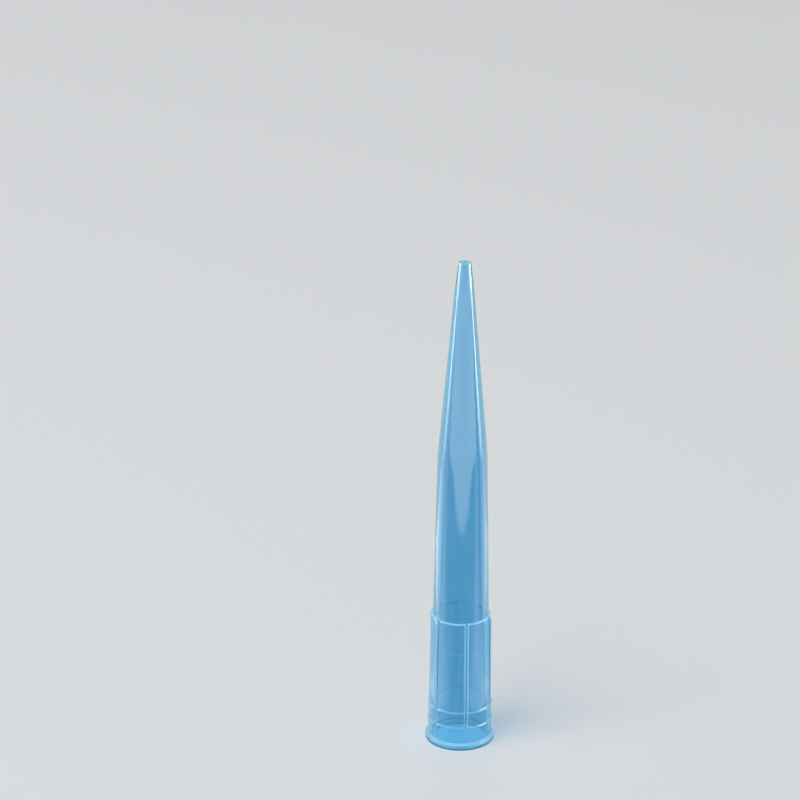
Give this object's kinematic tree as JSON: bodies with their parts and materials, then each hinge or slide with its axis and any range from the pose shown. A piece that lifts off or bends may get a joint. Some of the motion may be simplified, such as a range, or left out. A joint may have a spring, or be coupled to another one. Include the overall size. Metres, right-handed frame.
{
  "type": "pipette tip",
  "caption": "Slim conical liquid-handling tip in translucent blue plastic, with a ribbed collar, a shoulder, ring lines, a rim bead and a tapered nozzle seat.",
  "frame": {"origin": "centre of the wide rim's lower face, which the tip stands on", "axes": "+Z along the tip's axis, from the wide rim up to the narrow orifice; one rib of the collar points along -Y"},
  "size_m": [0.0098, 0.0098, 0.071],
  "materials": {
    "blue_polypropylene": "translucent blue polypropylene with a smooth moulded surface"
  },
  "bodies": {
    "root": {"pipette_tip": "blue_polypropylene"}
  },
  "joints": []
}
